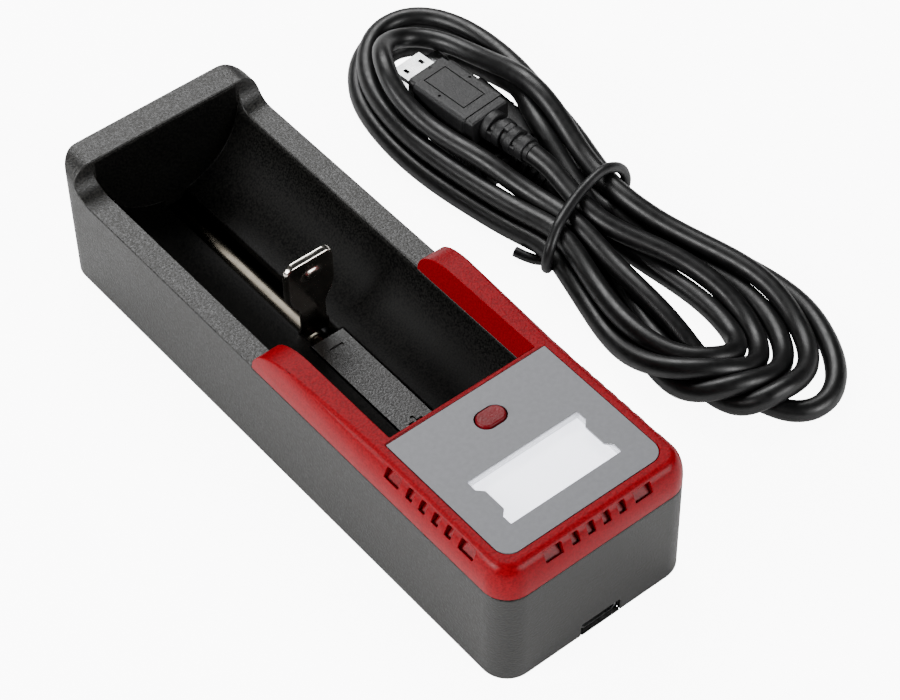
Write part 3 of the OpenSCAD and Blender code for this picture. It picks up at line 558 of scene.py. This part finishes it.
def make_paddle():
    """The sliding contact: one pressed strip, its head's edge turned back and a long dimple pressed in it."""
    lo, hi = in_mm("negative_contact")
    front, top = lo[1] + 0.9, hi[2]
    foot, neck, head, corner = 7.2, 2.65, 5.2, 2.3
    edge_roll, edge_depth, sheet = 0.6, 1.15, 0.5
    dimple_x, dimple_z, dimple_half_x, dimple_half_z, dimple_depth = 0.2, 22.4, 2.3, 1.25, 0.55

    def half_width(z):
        if z > top - corner:
            return head - corner + math.sqrt(max(0, corner ** 2 - (z - top + corner) ** 2))
        flare = 0.65 * (1 - smooth_step((z - foot - 1.6) / 1.6)) if z > foot + 1.6 else 0
        return neck + flare + (head - neck) * smooth_step((z - 13.6) / 5)

    rows = [foot + (top - corner - foot) * k / 44 for k in range(44)]
    rows += [top - corner * (1 - math.sin(math.radians(a))) for a in range(0, 91, 5)]
    across = [math.sin(math.radians(a)) for a in range(-90, 91, 5)]
    verts = []
    for z in rows:
        half = half_width(z)
        for u in across:
            x = u * half
            rim = min((1 - abs(u)) * half, top - z)
            turn = 1 - min(1, rim / edge_roll)
            back = edge_depth * (1 - math.sqrt(1 - turn * turn)) * smooth_step((z - 16) / 2.5)
            oval = math.hypot((x - dimple_x) / dimple_half_x, (z - dimple_z) / dimple_half_z)
            dimple = dimple_depth * smooth_step((1 - oval) / 0.5)
            verts.append((x, front + back - dimple, z))
    n = len(across)
    faces = [(r * n + c, r * n + c + 1, (r + 1) * n + c + 1, (r + 1) * n + c)
             for r in range(len(rows) - 1) for c in range(n - 1)]
    paddle = mesh_piece("sliding_contact", verts, faces, NICKEL)
    wall = paddle.modifiers.new("sheet", "SOLIDIFY")
    wall.thickness, wall.offset = sheet * MM, -1
    round_edges(paddle, 0.07, 50)
    return stand_in(paddle, "negative_contact")


make_paddle()


def make_vent_floors():
    """The vents are blind pockets: a strip of the cover's own red closes each row 0.7 mm in."""
    lo, hi = in_mm("top_cover")
    wall, level, side_row_y = 1.3, hi[2] - 2, -42.25
    deep, strip_size = 0.7, (22.4, 0.4, 2.4, 1)
    lean = Matrix.Rotation(math.radians(-45), 4, "X")
    rows = [(Vector((0, lo[1] + wall, level)), 0)]
    rows += [(Vector((s * (hi[0] - wall), side_row_y, level)), s * 90) for s in (-1, 1)]
    strip = bmesh.new()
    for at, turn in rows:
        place = Matrix.Translation(at) @ Matrix.Rotation(math.radians(turn), 4, "Z") @ lean
        shape = place @ Matrix.Translation((0, deep, 0)) @ Matrix.Diagonal(strip_size)
        bmesh.ops.create_cube(strip, size=1, matrix=Matrix.Scale(MM, 4) @ shape)
    mesh = bpy.data.meshes.new("vent_floors")
    strip.to_mesh(mesh)
    strip.free()
    mesh.materials.append(RED_ABS)
    floors = bpy.data.objects.new("vent_floors", mesh)
    bpy.context.scene.collection.objects.link(floors)
    round_edges(floors, 0.08)
    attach(floors, "charger")


make_vent_floors()


# ---------------------------------------------------------------- strain reliefs

def node_tree(name, inputs):
    """An empty geometry tree with named inputs; returns it, its input sockets and a way to finish it."""
    tree = bpy.data.node_groups.new(name, "GeometryNodeTree")
    for label, kind in inputs:
        tree.interface.new_socket(name=label, in_out="INPUT", socket_type=kind)
    tree.interface.new_socket(name="Geometry", in_out="OUTPUT", socket_type="NodeSocketGeometry")
    given = tree.nodes.new("NodeGroupInput").outputs

    def finish(geometry, material):
        solid = add(tree, "GeometryNodeRealizeInstances", Geometry=geometry)
        dressed = add(tree, "GeometryNodeSetMaterial", {"Material": material}, Geometry=solid.outputs["Geometry"])
        tree.links.new(dressed.outputs["Geometry"], tree.nodes.new("NodeGroupOutput").inputs["Geometry"])
        return tree
    return tree, given, finish


def math_node(tree, operation, a, b):
    return add(tree, "ShaderNodeMath", {"operation": operation}, i0=a, i1=b).outputs["Value"]


def grown(name, tree, values, place):
    """Runs a geometry tree with the given inputs, keeps the result as a plain mesh, and puts it in its place."""
    seed = bpy.data.objects.new(name, bpy.data.meshes.new(name))
    bpy.context.scene.collection.objects.link(seed)
    grow = seed.modifiers.new("grow", "NODES")
    grow.node_group = tree
    for socket in tree.interface.items_tree:
        if socket.name in values:
            grow[socket.identifier] = values[socket.name]
    made = bpy.data.meshes.new_from_object(seed.evaluated_get(bpy.context.evaluated_depsgraph_get()))
    seed.modifiers.remove(grow)
    made.transform(place)
    for face in made.polygons:
        face.use_smooth = True
    seed.data = made
    return seed


def relief_tree(material):
    """Thick rings down a tapered core; each gap is crossed by a bar, turned a quarter from one gap to the next,
    so that the sleeve bends both ways."""
    tree, given, finish = node_tree("strain_relief", [
        ("Length", "NodeSocketFloat"), ("Thick Radius", "NodeSocketFloat"), ("Thin Radius", "NodeSocketFloat"),
        ("Rings", "NodeSocketInt"), ("Ring Share", "NodeSocketFloat")])
    step = math_node(tree, "DIVIDE", given["Length"], given["Rings"])
    ring_depth = math_node(tree, "MULTIPLY", step, given["Ring Share"])
    gap = math_node(tree, "SUBTRACT", step, ring_depth)
    last = math_node(tree, "SUBTRACT", given["Rings"], 1.0)
    radius = add(tree, "ShaderNodeMapRange", Value=add(tree, "GeometryNodeInputIndex").outputs["Index"],
                 From_Max=last, To_Min=given["Thick Radius"], To_Max=given["Thin Radius"]).outputs["Result"]

    def along(first, count):
        at = add(tree, "ShaderNodeCombineXYZ", Z=first).outputs["Vector"]
        by = add(tree, "ShaderNodeCombineXYZ", Z=step).outputs["Vector"]
        return add(tree, "GeometryNodeMeshLine", Count=count, Start_Location=at, Offset=by).outputs["Mesh"]

    wide = add(tree, "ShaderNodeCombineXYZ", X=radius, Y=radius, Z=1.0).outputs["Vector"]
    ring = add(tree, "GeometryNodeMeshCylinder", {"Vertices": 40, "Radius": 1.0}, Depth=ring_depth)
    rings = add(tree, "GeometryNodeInstanceOnPoints", Scale=wide, Instance=ring.outputs["Mesh"],
                Points=along(math_node(tree, "MULTIPLY", ring_depth, 0.5), given["Rings"]))
    bar_depth = math_node(tree, "MULTIPLY", gap, 1.2)
    bar = add(tree, "GeometryNodeMeshCube", Size=add(tree, "ShaderNodeCombineXYZ", X=1.9, Y=0.75,
                                                     Z=bar_depth).outputs["Vector"])
    quarter = math_node(tree, "MULTIPLY", add(tree, "GeometryNodeInputIndex").outputs["Index"], math.pi / 2)
    first_gap = math_node(tree, "ADD", ring_depth, math_node(tree, "MULTIPLY", gap, 0.5))
    bars = add(tree, "GeometryNodeInstanceOnPoints", Scale=wide, Instance=bar.outputs["Mesh"],
               Rotation=add(tree, "ShaderNodeCombineXYZ", Z=quarter).outputs["Vector"],
               Points=along(first_gap, last))
    core = add(tree, "GeometryNodeMeshCone", {"Vertices": 32},
               Radius_Top=math_node(tree, "MULTIPLY", given["Thin Radius"], 0.8),
               Radius_Bottom=math_node(tree, "MULTIPLY", given["Thick Radius"], 0.74), Depth=given["Length"])
    whole = tree.nodes.new("GeometryNodeJoinGeometry")
    for part in (core.outputs["Mesh"], bars.outputs["Instances"], rings.outputs["Instances"]):
        tree.links.new(part, whole.inputs["Geometry"])
    return finish(whole.outputs["Geometry"], material)


def make_relief(node, top_mm, turn, length_mm, thick_mm, thin_mm, rings):
    """A strain relief that runs from top_mm towards the tie."""
    tree = bpy.data.node_groups.get("strain_relief") or relief_tree(PLUG_VINYL)
    place = (Matrix.Translation(Vector(top_mm) * MM) @ Matrix.Rotation(turn, 4, "Z")
             @ Matrix.Rotation(math.radians(90), 4, "X"))
    piece = grown(node + "_piece", tree, {
        "Length": length_mm * MM, "Thick Radius": thick_mm * MM, "Thin Radius": thin_mm * MM, "Rings": rings,
        "Ring Share": 0.62}, place)
    round_edges(piece, 0.18, 50)
    return stand_in(piece, node)


def make_reliefs():
    thick, thin, rings, small_length = 3.0, 2.5, 4, 11.2
    lo, hi = straightened("micro_plug_body")
    reach = (hi[1] - lo[1]) / 2
    middle = (lo + hi) / 2
    small_top = (middle[0] + reach * math.sin(PLUG_TURN), middle[1] - reach * math.cos(PLUG_TURN), middle[2])
    make_relief("micro_strain_relief", small_top, PLUG_TURN, small_length, thick, thin, rings)
    lo, hi = in_mm("usb_a_strain_relief")
    large_top = ((lo[0] + hi[0]) / 2, hi[1], (lo[2] + hi[2]) / 2)
    make_relief("usb_a_strain_relief", large_top, 0, hi[1] - lo[1], thick, thin, rings)


make_reliefs()


# ---------------------------------------------------------------- tie

TIE_RADIUS = 1.0


def make_tie():
    """A round vinyl tie, drawn slantwise round the strands, its short tail standing out at the side."""
    path = [(43.0, 10.6, 1.2), (43.8, 8.6, 1.0), (45.0, 6.4, 1.0), (47.6, 4.8, 1.0), (52, 4.8, 1.0), (58, 6.0, 1.0),
            (64, 8.0, 1.0), (67.6, 9.0, 1.9), (68.6, 9.4, 4.2), (67.2, 9.4, 7.8), (63.4, 9.2, 10.3),
            (57.5, 8.2, 10.3), (52, 6.2, 10.3), (47.2, 4.0, 9.8), (44.0, 2.4, 7.2), (43.2, 2.2, 4.2),
            (44.2, 3.0, 2.2), (45.4, 4.2, 1.6)]
    return curve_piece("tie", rounded(path, 0.5), TIE_RADIUS, TIE_VINYL, 4)


tie = make_tie()
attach(tie, "usb_lead")
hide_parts("twist_tie")


# ---------------------------------------------------------------- floor and light

def make_stage():
    """A white sweep lit from below, as a product table is, in a dim room."""
    floor_mat, tree, shader, _ = new_material("studio_table", "ffffff", 0.9)
    shader.inputs["Emission Color"].default_value = (1, 1, 1, 1)
    seen = add(tree, "ShaderNodeLightPath").outputs["Is Camera Ray"]
    glow = add(tree, "ShaderNodeMapRange", {"To Min": FLOOR_GLOW, "To Max": FLOOR_SEEN}, Value=seen)
    tree.links.new(glow.outputs["Result"], shader.inputs["Emission Strength"])
    bpy.ops.mesh.primitive_plane_add(size=3, location=(0, 0, -0.00005))
    floor = bpy.context.object
    floor.name = "floor"
    floor.data.materials.append(floor_mat)
    world = bpy.data.worlds.new("studio")
    bpy.context.scene.world = world
    world.use_nodes = True
    world.node_tree.nodes["Background"].inputs["Color"].default_value = (1, 1, 1, 1)
    world.node_tree.nodes["Background"].inputs["Strength"].default_value = ROOM_LIGHT


def area_light(name, at, to, size, power):
    data = bpy.data.lights.new(name, "AREA")
    data.shape, data.size, data.size_y = "RECTANGLE", size[0], size[1]
    data.energy = power
    obj = bpy.data.objects.new(name, data)
    bpy.context.scene.collection.objects.link(obj)
    obj.location = at
    obj.rotation_mode = "QUATERNION"
    obj.rotation_quaternion = (Vector(to) - Vector(at)).to_track_quat("-Z", "Y")


FLOOR_GLOW = 0.25                        # what the table throws back at the charger
FLOOR_SEEN = 9                           # bright enough to burn out to white, as a lit table does
ROOM_LIGHT = 0.03
make_stage()
area_light("softbox_back", (0.22, 0.50, 0.60), (0, 0, 0), (0.5, 0.3), 5.5)
area_light("softbox_left", (-0.6, 0.1, 0.35), (0, 0, 0.01), (0.4, 0.3), 6.5)
area_light("softbox_front", (0.25, -0.6, 0.3), (0, -0.03, 0.01), (0.4, 0.3), 3.6)
